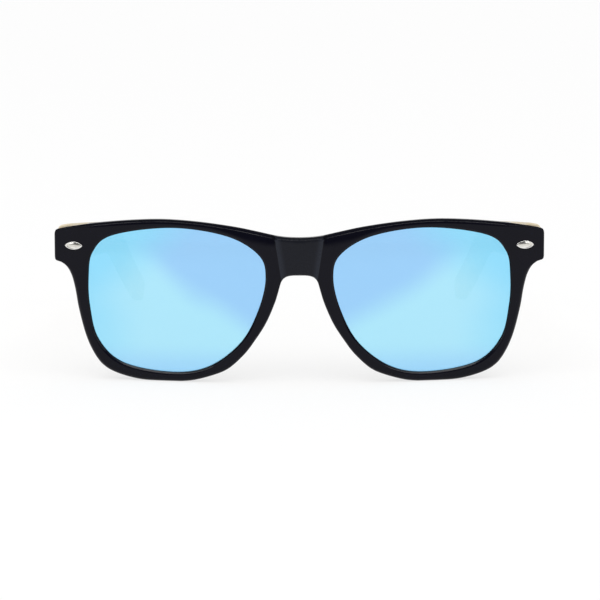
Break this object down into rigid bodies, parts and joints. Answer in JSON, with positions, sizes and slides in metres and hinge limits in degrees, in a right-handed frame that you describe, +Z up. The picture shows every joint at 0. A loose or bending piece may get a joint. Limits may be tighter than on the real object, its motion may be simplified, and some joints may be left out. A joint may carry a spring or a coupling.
{
  "type": "sunglasses",
  "caption": "Sunglasses with a glossy black wrapped front, blue mirrored lenses, pointed-oval metal plates and folding bamboo temples on spring hinges.",
  "frame": {"origin": "middle of the width and depth, on the table that the open glasses stand on", "axes": "+X to the wearer's left, +Y back along the temples, +Z up; the front faces -Y and stands upright"},
  "size_m": [0.145, 0.153, 0.0481],
  "materials": {
    "front_black": "polished black moulded plastic",
    "lens_mirror": "dark lens with a light blue mirror coat on its front",
    "rivet_silver": "polished, with a bevelled edge",
    "temple_bamboo": "pale bamboo, satin lacquer",
    "hinge_steel": "brushed",
    "screw_steel": "turned",
    "spring_steel": "drawn wire",
    "bush_brass": "turned"
  },
  "bodies": {
    "front": {"front_frame": "front_black", "lens_left": "lens_mirror", "lens_right": "lens_mirror", "rivet_left": "rivet_silver", "rivet_right": "rivet_silver", "front_hinge_left": "hinge_steel", "front_hinge_right": "hinge_steel", "pivot_screw_left": "screw_steel", "pivot_screw_right": "screw_steel"},
    "slider_left": {"slider_left": "hinge_steel", "spring_left": "spring_steel", "spring_stop_left": "screw_steel"},
    "temple_left": {"temple_left": "temple_bamboo", "hinge_housing_left": "hinge_steel", "guide_bush_left": "bush_brass", "housing_screws_left": "screw_steel"},
    "slider_right": {"slider_right": "hinge_steel", "spring_right": "spring_steel", "spring_stop_right": "screw_steel"},
    "temple_right": {"temple_right": "temple_bamboo", "hinge_housing_right": "hinge_steel", "guide_bush_right": "bush_brass", "housing_screws_right": "screw_steel"}
  },
  "joints": [
    {"name": "fold_left", "type": "hinge", "parent": "front", "child": "slider_left", "pos_m": [0.06695, -0.05548, 0.03923], "axis": [0, 0, 1], "range_deg": [0, 88]},
    {"name": "pull_left", "type": "slide", "parent": "slider_left", "child": "temple_left", "axis": [-0.0433, 0.9921, -0.1173], "range_m": [0, 0.0009], "stiffness_N_per_m": 2000, "springref_m": -0.002, "deforming": ["spring_left"]},
    {"name": "fold_right", "type": "hinge", "parent": "front", "child": "slider_right", "pos_m": [-0.06695, -0.05548, 0.03923], "axis": [0, 0, -1], "range_deg": [0, 82]},
    {"name": "pull_right", "type": "slide", "parent": "slider_right", "child": "temple_right", "axis": [0.0433, 0.9921, -0.1173], "range_m": [0, 0.0009], "stiffness_N_per_m": 2000, "springref_m": -0.002, "deforming": ["spring_right"]}
  ]
}
